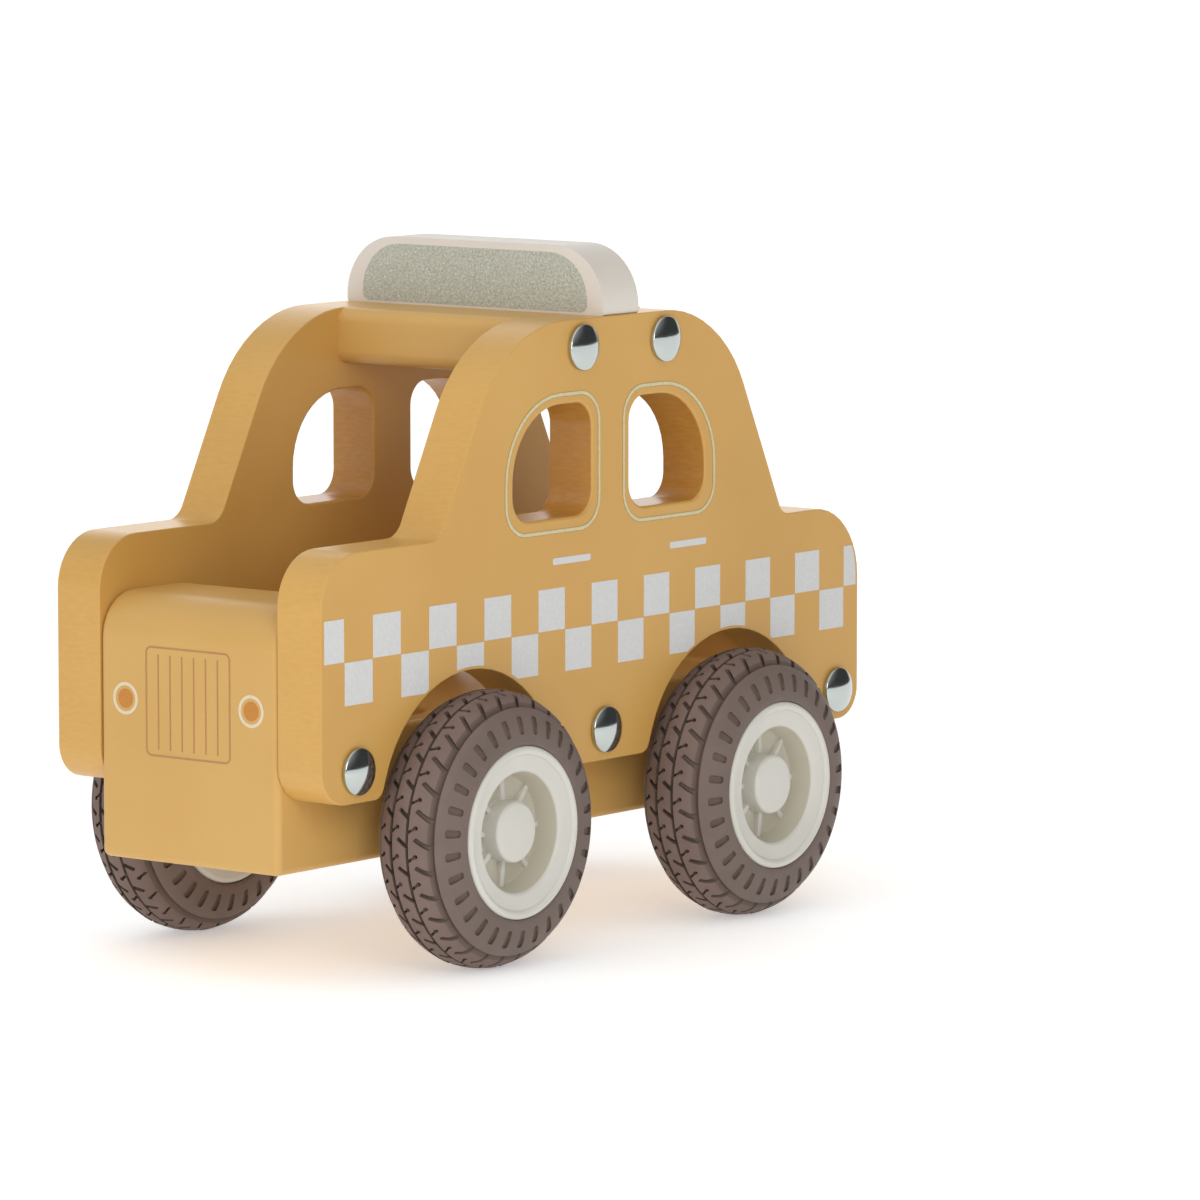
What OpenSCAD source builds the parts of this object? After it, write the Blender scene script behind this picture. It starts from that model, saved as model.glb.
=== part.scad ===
// Wooden toy taxi: two profile boards riveted to a stepped block, a roof bar with a sign, and two wheelsets.
// Millimetres. +X forward, +Y left, +Z up. The origin is on the ground under the middle of the car.

/* [Wheels] */
// Radius of a tyre at its crown
tyre_r = 19.3; // [17:0.1:22]
// Width of a wheel over its rims
wheel_w = 13.8; // [11:0.1:16]
// Gap between the block's side and a wheel's inner face
wheel_gap = 3.4; // [2.5:0.1:6]
// Radius of a hub's rim
rim_r = 12; // [10:0.1:13]
// Radius of the dish in a hub's face
dish_r = 8.5; // [7:0.1:9.2]
// Radius of a hub's centre boss
boss_r = 4.3; // [3.6:0.1:5]
// Number of gusset ribs in a hub
hub_ribs = 8; // [4:1:10]
// Diameter of an axle
axle_d = 4; // [3:0.1:4.6]
// Front axle, as a share of the way from the middle of the car to its front end
front_axle_share = 0.4755; // [0.43:0.0005:0.5]
// Rear axle, as a share of the way from the middle of the car to its rear end
rear_axle_share = 0.4902; // [0.46:0.0005:0.52]

/* [Block] */
// Length of the block and of the side panels
car_len = 122.4; // [118:0.1:135]
// Width of the block
block_w = 32; // [26:0.5:40]
// Height of the axles above the block's underside
axle_up = 3.9; // [3.5:0.1:5]
// Thickness of the block under the cabin
floor_t = 18.4; // [16:0.1:22]
// Height of the bonnet part of the block
nose_h = 36.6; // [30:0.1:42]
// Length of the bonnet part of the block
nose_len = 16.8; // [12:0.1:19]
// Height of the boot part of the block
tail_h = 33.8; // [28:0.1:40]
// Length of the boot part of the block
tail_len = 17.4; // [12:0.1:19]
// Diameter of the driver's round seat hole
seat_d = 23; // [18:0.1:26]
// Depth of the seat hole
seat_depth = 9; // [6:0.1:10]
// Gap between the bonnet's rear face and the seat hole
seat_gap = 4.6; // [3:0.1:8]

/* [Side panels] */
// Thickness of a panel
panel_t = 7.8; // [6:0.1:10]
// Height of a panel's underside above the block's underside
sill_up = 10; // [7:0.1:13]
// Height of the bonnet line above the block's underside
hood_up = 44.2; // [40:0.1:47]
// Height of the boot line above the block's underside
boot_up = 41.4; // [38:0.1:46]
// Height of the roof line above the block's underside
roof_up = 72.7; // [69:0.1:80]
// Foot of the windscreen, as a share of the way from the middle of the car to its front end
screen_share = 0.5882; // [0.54:0.0001:0.62]
// Lean of the windscreen from upright, in degrees
screen_lean = 27.2; // [20:0.1:30]
// Foot of the rear screen, as a share of the way from the middle of the car to its rear end
rear_screen_share = 0.6961; // [0.66:0.0001:0.73]
// Lean of the rear screen from upright, in degrees
rear_screen_lean = 25.5; // [18:0.1:28]

/* [Windows] */
// Width of a window, as a share of half the car's length
window_share = 0.2876; // [0.23:0.0001:0.31]
// Height of a window
window_h = 15.8; // [12:0.1:17]
// Width of the pillar between the windows
pillar_w = 8.6; // [6:0.1:11]
// Middle of the pillar, behind the middle of the car
pillar_back = 2.1; // [0:0.1:5]
// Height of the window sill above the block's underside
window_up = 45.2; // [43:0.1:47]

/* [Roof] */
// Length of the roof bar, as a share of half the car's length
bar_share = 0.4902; // [0.43:0.0001:0.55]
// Thickness of the roof bar
bar_t = 8; // [7:0.1:10]
// Middle of the roof bar and the sign, as a share of the way from the middle of the car to its rear end
roof_back_share = 0.0801; // [0.05:0.0001:0.11]
// Width of the sign across the car
sign_w = 46.8; // [36:0.1:47.5]
// Thickness of the sign
sign_t = 8; // [7:0.1:12]
// Height of the sign
sign_h = 9.6; // [8:0.1:13]

/* [Fasteners] */
// Diameter of a rivet's dome head
rivet_head_d = 6.5; // [5:0.1:8]
// Height of a rivet's dome head
rivet_head_h = 1.5; // [1:0.1:2.2]
// Diameter of a rivet's shank
rivet_d = 3; // [2:0.1:3.6]
// Length of a rivet's shank behind the panel
rivet_bite = 9; // [6:0.1:11]
// Distance between the two rivets at the roof, as a share of the roof bar's length
roof_rivet_share = 0.6267; // [0.5:0.0001:0.7]
// Diameter of a dowel
dowel_d = 4; // [3:0.1:5]
// Length of a dowel
dowel_len = 9; // [6:0.1:11]
// Diameter of a thrust washer
washer_d = 9; // [7:0.1:12]
// Thickness of a thrust washer
washer_t = 1; // [0.5:0.1:1.5]

/* [Hidden] */
$fn = 64;
// Points along a corner's arc and along a wheel arch
corner_steps = 10;
arch_steps = 36;

// Radial clearance of an axle in the block, a pin in its hole and a tyre on its hub
axle_clear = 0.08;
pin_clear = 0.03;
tyre_clear = 0.05;
// Gap between a washer and the block, and between an axle's end and its hub
end_play = 0.3;
// How far every cut runs past the solid it cuts
over = 1;

// Heights from the ground
axle_z = tyre_r;
under_z = axle_z - axle_up;
floor_z = under_z + floor_t;
nose_z = under_z + nose_h;
tail_z = under_z + tail_h;
sill_z = under_z + sill_up;
hood_z = under_z + hood_up;
boot_z = under_z + boot_up;
roof_z = under_z + roof_up;
window_z = under_z + window_up;

// Places along and across the car
front_x = car_len / 2;
rear_x = -front_x;
front_axle_x = front_axle_share * front_x;
rear_axle_x = rear_axle_share * rear_x;
screen_x = screen_share * front_x;
rear_screen_x = rear_screen_share * rear_x;
pillar_x = -pillar_back;
roof_x = roof_back_share * rear_x;
seat_x = front_x - nose_len - seat_gap - seat_d / 2;
window_w = window_share * front_x;
bar_len = bar_share * front_x;
roof_rivet_pitch = roof_rivet_share * bar_len;
inner_y = block_w / 2;
outer_y = inner_y + panel_t;

// Block: corner radii
nose_r = 6;
tail_r = 6;
edge_r = 1;

// Panels: corner radii, and where the screens' lines meet the roof line
toe_r = 5;
heel_r = 4.5;
hood_r = 7.5;
boot_r = 10.5;
screen_foot_r = 3.5;
rear_screen_foot_r = 2.5;
screen_head_r = 21;
rear_screen_head_r = 20.5;
screen_head_x = screen_x - (roof_z - hood_z) * tan(screen_lean);
rear_screen_head_x = rear_screen_x + (roof_z - boot_z) * tan(rear_screen_lean);

// Wheel arches: each is centred above its axle, and its feet are rounded
arch_gap = 0.3;
arch_lift = 2.3;
arch_foot_r = 2;
arch_r = tyre_r + arch_gap;
arch_z = axle_z + arch_lift;

// Windows: small corners, and the large one on the side away from the pillar
window_r = 3.5;
brow_r = 10.5;
window_brow_r = min(brow_r, window_h - window_r, window_w - window_r);

// Roof bar and sign: corner radii, and the dowels between them
bar_r = 2;
sign_r = 8.6;
sign_foot_r = 0.4;
sign_head_r = min(sign_r, sign_h - sign_foot_r);
dowel_y_share = 0.45;
dowel_sign_share = 0.5;
dowel_y = dowel_y_share * inner_y;
dowel_z = roof_z - (1 - dowel_sign_share) * dowel_len;

// Rivets: the lower ones sit between the panel's underside and the cabin floor, and the end ones share the
// land between a wheel arch and the car's end
rivet_front_share = 0.518;
rivet_rear_share = 0.396;
rivet_middle_back = 0.7;
rivet_height_share = 0.52;
rivet_z = sill_z + rivet_height_share * (floor_z - sill_z);
arch_reach = sqrt(max(0, pow(arch_r, 2) - pow(rivet_z - arch_z, 2)));
rivet_front_in = rivet_front_share * (front_x - front_axle_x - arch_reach);
rivet_rear_in = rivet_rear_share * (rear_axle_x - rear_x - arch_reach);
roof_rivet_z = roof_z - bar_t / 2;
// Radius of the sphere that a dome head is cut from
dome_r = (pow(rivet_head_h, 2) + pow(rivet_head_d / 2, 2)) / (2 * rivet_head_h);
RIVETS = [
    [front_x - rivet_front_in, rivet_z],
    [-rivet_middle_back, rivet_z],
    [rear_x + rivet_rear_in, rivet_z],
    [roof_x + roof_rivet_pitch / 2, roof_rivet_z],
    [roof_x - roof_rivet_pitch / 2, roof_rivet_z]
];

// Wheels: sections are [radius, distance outwards from the wheel's middle plane]
half_w = wheel_w / 2;
wheel_y = inner_y + wheel_gap + half_w;
// Hub: rim flanges, barrel under the tyre, dish, back recess, boss and the sleeve that bears on the washer
flange_t = 1.3;
flange_h = 1.5;
lip_r = 0.9;
rim_fall = 0.8;
dish_depth = 4.6;
dish_draft = 0.7;
dish_edge_r = 0.6;
web_t = 1.8;
back_wall_t = 1.6;
boss_sink = 1.5;
boss_end_t = 1.6;
boss_edge_r = 0.6;
barrel_r = rim_r - flange_h;
back_r = barrel_r - back_wall_t;
dish_foot_r = dish_r - dish_draft;
dish_floor = half_w - dish_depth;
boss_face = half_w - boss_sink;
bore_r = axle_d / 2 + pin_clear;
bore_end = boss_face - boss_end_t;
washer_y = inner_y + end_play;
sleeve_end = washer_y + washer_t - wheel_y;
// Gusset ribs between boss and dish: they fall from the boss to the wall
rib_t = 0.8;
rib_root = 0.4;
rib_wall_h = 0.6;
rib_boss_h = 1.1;
// Tyre: crown, tread edge and shoulder, with two grooves round the crown
tread_share = 0.54;
shoulder_share = 0.76;
groove_share = 0.18;
tread_drop = 1.05;
shoulder_drop = 2.45;
groove_w = 0.7;
groove_depth = 0.8;
step_w = 0.5;
bead_in = 0.3;
crown_steps = 10;
tread_half = tread_share * half_w;
groove_at = groove_share * half_w;
shoulder_at = shoulder_share * half_w;
// Axles: half length and end chamfer
axle_half = wheel_y + bore_end - end_play;
axle_chamfer = 0.4;

// Points along an arc about c, from angle a0 to a1; skip leaves out that many points at each end
function arc(c, r, a0, a1, steps, skip = 0) = [
    for (i = [skip : steps - skip])
        let (a = a0 + (a1 - a0) * i / steps) [c.x + r * cos(a), c.y + r * sin(a)]
];

// Points of the arc that rounds the corner b between a and c
function corner(a, b, c, r) =
    let (
        u = (a - b) / norm(a - b),
        v = (c - b) / norm(c - b),
        half = acos(u * v) / 2,
        m = b + (u + v) / norm(u + v) * r / sin(half),
        p = b + u * r / tan(half) - m,
        q = b + v * r / tan(half) - m,
        start = atan2(p.y, p.x),
        turn = (atan2(q.y, q.x) - start + 540) % 360 - 180
    )
    arc(m, r, start, start + turn, corner_steps);

// An outline from corners [x, y, radius]; radius 0 leaves a corner sharp
function rounded(corners) = [
    for (i = [0 : len(corners) - 1])
        let (
            n = len(corners),
            a = corners[(i + n - 1) % n],
            b = corners[i],
            c = corners[(i + 1) % n]
        )
        each b.z > 0 ? corner([a.x, a.y], [b.x, b.y], [c.x, c.y], b.z) : [[b.x, b.y]]
];

// The same for one run of corners inside a longer outline: the first and last only steer the arcs
function rounded_run(corners) = [
    for (i = [1 : len(corners) - 2])
        let (a = corners[i - 1], b = corners[i], c = corners[i + 1])
        each corner([a.x, a.y], [b.x, b.y], [c.x, c.y], b.z)
];

// A wheel arch from its rear foot to its front foot
function arch(x) =
    let (
        foot_z = sill_z + arch_foot_r,
        foot_x = sqrt(pow(arch_r + arch_foot_r, 2) - pow(foot_z - arch_z, 2)),
        lean = atan2(foot_z - arch_z, foot_x)
    )
    concat(
        arc([x - foot_x, foot_z], arch_foot_r, -90, -lean, corner_steps),
        arc([x, arch_z], arch_r, 180 - lean, lean, arch_steps, 1),
        arc([x + foot_x, foot_z], arch_foot_r, 180 + lean, 270, corner_steps)
    );

// The panel's outline, seen from the right: underside with its arches, then round over the roof
panel_outline = concat(
    arch(rear_axle_x),
    arch(front_axle_x),
    rounded_run([
        [front_axle_x, sill_z],
        [front_x, sill_z, toe_r],
        [front_x, hood_z, hood_r],
        [screen_x, hood_z, screen_foot_r],
        [screen_head_x, roof_z, screen_head_r],
        [rear_screen_head_x, roof_z, rear_screen_head_r],
        [rear_screen_x, boot_z, rear_screen_foot_r],
        [rear_x, boot_z, boot_r],
        [rear_x, sill_z, heel_r],
        [rear_axle_x, sill_z]
    ])
);

// A window, measured from the pillar's middle and forwards
window_outline = rounded([
    [pillar_w / 2, window_z, window_r],
    [pillar_w / 2 + window_w, window_z, window_r],
    [pillar_w / 2 + window_w, window_z + window_h, window_brow_r],
    [pillar_w / 2, window_z + window_h, window_r]
]);

block_outline = rounded([
    [rear_x, under_z, edge_r],
    [front_x, under_z, edge_r],
    [front_x, nose_z, nose_r],
    [front_x - nose_len, nose_z, edge_r],
    [front_x - nose_len, floor_z, edge_r],
    [rear_x + tail_len, floor_z, edge_r],
    [rear_x + tail_len, tail_z, edge_r],
    [rear_x, tail_z, tail_r]
]);

bar_outline = rounded([
    [roof_x - bar_len / 2, roof_z - bar_t, bar_r],
    [roof_x + bar_len / 2, roof_z - bar_t, bar_r],
    [roof_x + bar_len / 2, roof_z, bar_r],
    [roof_x - bar_len / 2, roof_z, bar_r]
]);

sign_outline = rounded([
    [-sign_w / 2, roof_z, sign_foot_r],
    [sign_w / 2, roof_z, sign_foot_r],
    [sign_w / 2, roof_z + sign_h, sign_head_r],
    [-sign_w / 2, roof_z + sign_h, sign_head_r]
]);

// Half of the hub's section, from the axle's bore round the back, the rims and the dish to the boss
hub_section = concat(
    [
        [bore_r, sleeve_end],
        [boss_r, sleeve_end],
        [boss_r, dish_floor - web_t],
        [back_r, dish_floor - web_t],
        [back_r, -half_w]
    ],
    arc([rim_r - lip_r, lip_r - half_w], lip_r, -90, 0, corner_steps),
    [
        [rim_r, flange_t - half_w],
        [barrel_r, flange_t - half_w],
        [barrel_r, half_w - flange_t],
        [rim_r, half_w - flange_t]
    ],
    arc([rim_r - lip_r, half_w - lip_r], lip_r, 0, 90, corner_steps),
    corner(
        [rim_r - lip_r, half_w],
        [dish_r, half_w - rim_fall],
        [dish_foot_r, dish_floor],
        dish_edge_r
    ),
    [[dish_foot_r, dish_floor], [boss_r, dish_floor]],
    arc([boss_r - boss_edge_r, boss_face - boss_edge_r], boss_edge_r, 0, 90, corner_steps),
    [[0, boss_face], [0, bore_end], [bore_r, bore_end]]
);

// A gusset rib's side
rib_outline = [
    [boss_r - rib_root, dish_floor - rib_root],
    [dish_foot_r + rib_root, dish_floor - rib_root],
    [dish_foot_r + rib_root, dish_floor + rib_wall_h],
    [boss_r - rib_root, dish_floor + rib_boss_h]
];

// The tyre's radius at a distance s from its middle plane
function crown(s) = tyre_r - tread_drop * pow(s / tread_half, 2);

// The outer half of the tyre's section, from the middle plane to the bead on the rim and the barrel
tyre_half = concat(
    [for (i = [0 : crown_steps]) let (s = (groove_at - groove_w / 2) * i / crown_steps) [crown(s), s]],
    [
        [crown(groove_at) - groove_depth, groove_at - groove_w / 2],
        [crown(groove_at) - groove_depth, groove_at + groove_w / 2]
    ],
    [
        for (i = [0 : crown_steps])
            let (a = groove_at + groove_w / 2, s = a + (tread_half - a) * i / crown_steps) [crown(s), s]
    ],
    [
        [tyre_r - shoulder_drop, shoulder_at - step_w],
        [tyre_r - shoulder_drop, shoulder_at],
        [rim_r + tyre_clear, half_w - bead_in],
        [rim_r + tyre_clear, half_w - flange_t - tyre_clear],
        [barrel_r + tyre_clear, half_w - flange_t - tyre_clear]
    ]
);

// Its mirror image, for the half nearer the car
tyre_other_half = [for (i = [len(tyre_half) - 1 : -1 : 1]) [tyre_half[i].x, -tyre_half[i].y]];

// Extrudes an outline in x and z across the car, from y_low up by w
module across(y_low, w) translate([0, y_low + w, 0]) rotate([90, 0, 0]) linear_extrude(w) children();

// A cylinder across the car, centred at y
module rod_across(x, y, z, d, w)
    translate([x, y, z]) rotate([90, 0, 0]) cylinder(d = d, h = w, center = true);

// Places a piece of a wheel, whose axis is z, at a wheel on side +1 (left) or -1 (right)
module at_wheel(x, side) mirror([0, side < 0 ? 1 : 0, 0])
    translate([x, wheel_y, axle_z]) rotate([-90, 0, 0]) children();

// The rivets' holes through the panels and into the wood between them
module rivet_holes() {
    for (p = RIVETS, side = [-1, 1])
        rod_across(p.x, side * (outer_y + inner_y - rivet_bite) / 2, p.y, rivet_d + 2 * pin_clear,
            panel_t + rivet_bite + 2 * pin_clear);
}

module side_panel(side) color("#C89F5B") difference() {
    y_low = side > 0 ? inner_y : -outer_y;
    across(y_low, panel_t) polygon(panel_outline);
    for (way = [0, 1])
        translate([pillar_x, 0, 0])
            mirror([way, 0, 0])
                across(y_low - over, panel_t + 2 * over) polygon(window_outline);
    for (p = RIVETS)
        rod_across(p.x, side * (inner_y + panel_t / 2), p.y, rivet_d + 2 * pin_clear, panel_t + 2 * over);
}

module chassis_block() color("#D6AE6B") difference() {
    across(-inner_y, block_w) polygon(block_outline);
    for (x = [front_axle_x, rear_axle_x])
        rod_across(x, 0, axle_z, axle_d + 2 * axle_clear, block_w + 2 * over);
    translate([seat_x, 0, floor_z - seat_depth]) cylinder(d = seat_d, h = seat_depth + over);
    rivet_holes();
}

module roof_bar() color("#D6AE6B") difference() {
    across(-inner_y, block_w) polygon(bar_outline);
    rivet_holes();
    dowel_holes();
}

module roof_sign() color("#E8DCD0") difference() {
    translate([roof_x - sign_t / 2, 0, 0]) rotate([90, 0, 90]) linear_extrude(sign_t) polygon(sign_outline);
    dowel_holes();
}

module dowel_holes() {
    for (side = [-1, 1])
        translate([roof_x, side * dowel_y, dowel_z - pin_clear])
            cylinder(d = dowel_d + 2 * pin_clear, h = dowel_len + 2 * pin_clear);
}

module sign_dowel(side) color("#C8A878")
    translate([roof_x, side * dowel_y, dowel_z]) cylinder(d = dowel_d, h = dowel_len);

// A rivet: a shank through the panel and a dome head on its outer face
module rivet(side, i) color("#C9CCCE") mirror([0, side < 0 ? 1 : 0, 0])
    translate([RIVETS[i].x, outer_y, RIVETS[i].y]) rotate([-90, 0, 0]) {
        translate([0, 0, -panel_t - rivet_bite])
            cylinder(d = rivet_d, h = panel_t + rivet_bite + rivet_head_h / 2);
        intersection() {
            translate([0, 0, rivet_head_h - dome_r]) sphere(dome_r);
            translate([-dome_r, -dome_r, 0]) cube(2 * dome_r);
        }
    }

module hub(x, side) color("#D8D5CB") at_wheel(x, side) {
    rotate_extrude() polygon(hub_section);
    for (i = [0 : hub_ribs - 1])
        rotate([0, 0, 360 * i / hub_ribs])
            translate([0, rib_t / 2, 0]) rotate([90, 0, 0]) linear_extrude(rib_t) polygon(rib_outline);
}

module tyre(x, side) color("#7A6B63") at_wheel(x, side)
    rotate_extrude() polygon(concat(tyre_half, tyre_other_half));

module washer(x, side) color("#E4E1D8") mirror([0, side < 0 ? 1 : 0, 0])
    translate([x, washer_y, axle_z]) rotate([-90, 0, 0]) difference() {
        cylinder(d = washer_d, h = washer_t);
        translate([0, 0, -over]) cylinder(d = axle_d + 2 * pin_clear, h = washer_t + 2 * over);
    }

module axle(x) color("#B9BCBE") translate([x, 0, axle_z]) rotate([90, 0, 0]) rotate_extrude() polygon([
    [0, -axle_half],
    [axle_d / 2 - axle_chamfer, -axle_half],
    [axle_d / 2, axle_chamfer - axle_half],
    [axle_d / 2, axle_half - axle_chamfer],
    [axle_d / 2 - axle_chamfer, axle_half],
    [0, axle_half]
]);

side_panel(1);  // side_panel_left
side_panel(-1);  // side_panel_right
chassis_block();
roof_bar();
roof_sign();
sign_dowel(1);  // sign_dowel_left
sign_dowel(-1);  // sign_dowel_right
rivet(1, 0);  // rivet_left_front
rivet(1, 1);  // rivet_left_middle
rivet(1, 2);  // rivet_left_rear
rivet(1, 3);  // rivet_left_roof_front
rivet(1, 4);  // rivet_left_roof_rear
rivet(-1, 0);  // rivet_right_front
rivet(-1, 1);  // rivet_right_middle
rivet(-1, 2);  // rivet_right_rear
rivet(-1, 3);  // rivet_right_roof_front
rivet(-1, 4);  // rivet_right_roof_rear
hub(front_axle_x, 1);  // hub_front_left
hub(front_axle_x, -1);  // hub_front_right
hub(rear_axle_x, 1);  // hub_rear_left
hub(rear_axle_x, -1);  // hub_rear_right
tyre(front_axle_x, 1);  // tyre_front_left
tyre(front_axle_x, -1);  // tyre_front_right
tyre(rear_axle_x, 1);  // tyre_rear_left
tyre(rear_axle_x, -1);  // tyre_rear_right
washer(front_axle_x, 1);  // washer_front_left
washer(front_axle_x, -1);  // washer_front_right
washer(rear_axle_x, 1);  // washer_rear_left
washer(rear_axle_x, -1);  // washer_rear_right
axle(front_axle_x);  // front_axle
axle(rear_axle_x);  // rear_axle
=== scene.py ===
# %% [markdown]
# # A wooden toy taxi
# The toy is a sandwich: two painted boards with a car's profile, a stepped block between them, a bar with a
# cream sign at the roof, bright rivets, and four rubber tyres on cream hubs. The exact solids come in as a
# fixed frame. Each piece that shows is modelled again with soft edges, print and tread, in the same place.

# %% Load the frame
import math

import bmesh
import bpy
import numpy as np
from mathutils import Matrix, Vector


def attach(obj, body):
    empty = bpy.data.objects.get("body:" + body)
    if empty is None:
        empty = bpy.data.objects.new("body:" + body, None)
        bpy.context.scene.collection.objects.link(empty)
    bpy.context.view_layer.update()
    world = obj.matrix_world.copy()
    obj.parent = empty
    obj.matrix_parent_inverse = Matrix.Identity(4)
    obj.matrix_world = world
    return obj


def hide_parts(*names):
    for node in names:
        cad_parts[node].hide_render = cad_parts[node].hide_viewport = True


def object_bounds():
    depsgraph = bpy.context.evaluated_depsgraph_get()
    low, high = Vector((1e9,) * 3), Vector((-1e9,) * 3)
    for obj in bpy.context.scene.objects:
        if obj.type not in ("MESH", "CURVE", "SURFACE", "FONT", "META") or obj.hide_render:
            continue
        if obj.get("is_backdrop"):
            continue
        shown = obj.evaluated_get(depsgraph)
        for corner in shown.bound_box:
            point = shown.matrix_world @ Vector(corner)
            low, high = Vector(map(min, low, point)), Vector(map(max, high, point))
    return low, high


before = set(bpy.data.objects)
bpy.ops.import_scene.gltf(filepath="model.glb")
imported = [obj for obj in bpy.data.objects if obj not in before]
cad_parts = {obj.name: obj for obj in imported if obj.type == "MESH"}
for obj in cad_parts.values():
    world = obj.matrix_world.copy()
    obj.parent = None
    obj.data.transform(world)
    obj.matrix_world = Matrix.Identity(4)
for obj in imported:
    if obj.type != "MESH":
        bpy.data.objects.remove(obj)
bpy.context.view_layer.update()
MM = 0.001

# %% [markdown]
# ## Working in edit mode from a script
# By hand you click on a piece, press Tab, click on some edges and run a tool. A script does the same in the
# same order. `edit` opens one piece with nothing selected, and `pick` selects the points, edges or faces
# that pass a test of their place. An operator acts on all that is selected, so everything is deselected
# first.

# %% Edit-mode helpers
def deselect():
    if bpy.context.mode != "OBJECT":
        bpy.ops.object.mode_set(mode="OBJECT")
    bpy.ops.object.select_all(action="DESELECT")


def activate(piece):
    deselect()
    piece.select_set(True)
    bpy.context.view_layer.objects.active = piece


def edit(piece, kind):
    activate(piece)
    bpy.ops.object.mode_set(mode="EDIT")
    bpy.ops.mesh.select_mode(type=kind)
    bpy.ops.mesh.select_all(action="DESELECT")


def pick(piece, kind, test):
    mesh = bmesh.from_edit_mesh(piece.data)
    found = [e for e in {"VERT": mesh.verts, "EDGE": mesh.edges, "FACE": mesh.faces}[kind] if test(e)]
    for e in found:
        e.select_set(True)
    bmesh.update_edit_mesh(piece.data)
    return len(found)


def apply(piece, kind, **settings):
    activate(piece)
    modifier = piece.modifiers.new(kind.title(), kind)
    for name, value in settings.items():
        setattr(modifier, name, value)
    bpy.ops.object.modifier_apply(modifier=modifier.name)


def tidy_mesh(piece):
    edit(piece, "VERT")
    bpy.ops.mesh.select_all(action="SELECT")
    bpy.ops.mesh.remove_doubles(threshold=0.002 * MM)
    bpy.ops.mesh.normals_make_consistent(inside=False)
    bpy.ops.object.mode_set(mode="OBJECT")


def smooth(piece, degrees=35):
    activate(piece)
    bpy.ops.object.shade_smooth_by_angle(angle=math.radians(degrees))
    apply(piece, "WEIGHTED_NORMAL", keep_sharp=True)


# %% [markdown]
# ## Boards from their corners
# Every wooden piece here is an outline with a thickness. A flat circle with as many points as the outline
# has corners is the start: its points are moved onto the corners. Each corner is then rounded by bevelling
# its point, with the length along its edges that a true arc of that radius has. The face is extruded
# through the thickness. A bevel's profile of 0.5 is round only at a right angle, so the profile is worked
# out from the corner's angle.

# %% Plates
def flat_start(name, spots):
    """A flat face whose points lie on the spots, in mm."""
    deselect()
    bpy.ops.mesh.primitive_circle_add(vertices=len(spots), radius=MM, fill_type="NGON")
    piece = bpy.context.object
    piece.name = piece.data.name = name
    for point, spot in zip(piece.data.vertices, spots):
        point.co = Vector(spot) * MM
    return piece


def rectangle(left, right, low, high, foot, head=None):
    """Corners of a rectangle, with a radius for its foot and one for its head."""
    head = foot if head is None else head
    return [(left, low, foot), (right, low, foot), (right, high, head), (left, high, head)]


def plate(name, corners, low, high, across="y", steps=10):
    """A board from corners (along, up, radius) in mm, extruded from low to high along y or x."""
    spots = [Vector((a, low, z) if across == "y" else (low, a, z)) for a, z, _ in corners]
    piece = flat_start(name, spots)
    edit(piece, "VERT")
    for i, (_, _, r) in enumerate(corners):
        if r == 0:
            continue
        here, before, after = spots[i], spots[i - 1], spots[(i + 1) % len(spots)]
        half = (before - here).angle(after - here) / 2
        bpy.ops.mesh.select_all(action="DESELECT")
        pick(piece, "VERT", lambda v: (v.co - here * MM).length < 0.001 * MM)
        bpy.ops.mesh.bevel(
            affect="VERTICES", offset_type="ABSOLUTE", offset=r * MM / math.tan(half) * 0.9995,
            segments=steps, profile=(1 - 0.5 / (1 + math.sin(half))) ** 2,
        )
    bpy.ops.mesh.select_all(action="SELECT")
    way = (0, (high - low) * MM, 0) if across == "y" else ((high - low) * MM, 0, 0)
    bpy.ops.mesh.extrude_region_move(TRANSFORM_OT_translate={"value": way})
    tidy_mesh(piece)
    return piece


def round_rims(piece, radius, segments=4, where=lambda edge: True):
    """Bevels the sharp edges of a board that pass a test."""
    edit(piece, "EDGE")
    count = pick(piece, "EDGE", lambda e: e.is_manifold and e.calc_face_angle() > 0.8 and where(e))
    bpy.ops.mesh.bevel(offset=radius * MM, segments=segments, profile=0.5, clamp_overlap=True)
    tidy_mesh(piece)
    return count


def combine(piece, operation, *others):
    """Adds the others to a piece, takes them out of it or keeps what they share, and removes them."""
    for other in others:
        apply(piece, "BOOLEAN", object=other, operation=operation, solver="EXACT")
        bpy.data.objects.remove(other)


def cut(piece, *cutters):
    combine(piece, "DIFFERENCE", *cutters)


def cylinder(radius, length, centre, along):
    """A round cutter along y or z."""
    deselect()
    bpy.ops.mesh.primitive_cylinder_add(
        vertices=96, radius=radius * MM, depth=length * MM, location=Vector(centre) * MM,
        rotation=(math.pi / 2, 0, 0) if along == "y" else (0, 0, 0),
    )
    bpy.ops.object.transform_apply(location=True, rotation=True, scale=True)
    return bpy.context.object


# %% [markdown]
# ## Sizes
# The sizes repeat the ones that the solids were built from, in millimetres, so that a new piece sits
# exactly where its solid is. +X is forward, +Y is the car's left, and the ground is at 0.

# %% Sizes of the car
FRONT, REAR = 61.2, -61.2
INNER, OUTER = 16.0, 23.8
UNDER, SILL, FLOOR = 15.4, 25.4, 33.8
NOSE, TAIL, HOOD, BOOT, ROOF = 52.0, 49.2, 59.6, 56.8, 88.1
CABIN_FRONT, CABIN_REAR = 44.4, -43.8
SEAT_X, SEAT_R = 28.3, 11.5
AXLES = {"front": 29.1, "rear": -30.0}
AXLE_UP, BORE_R = 19.3, 2.08
PILLAR = -2.1

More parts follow.
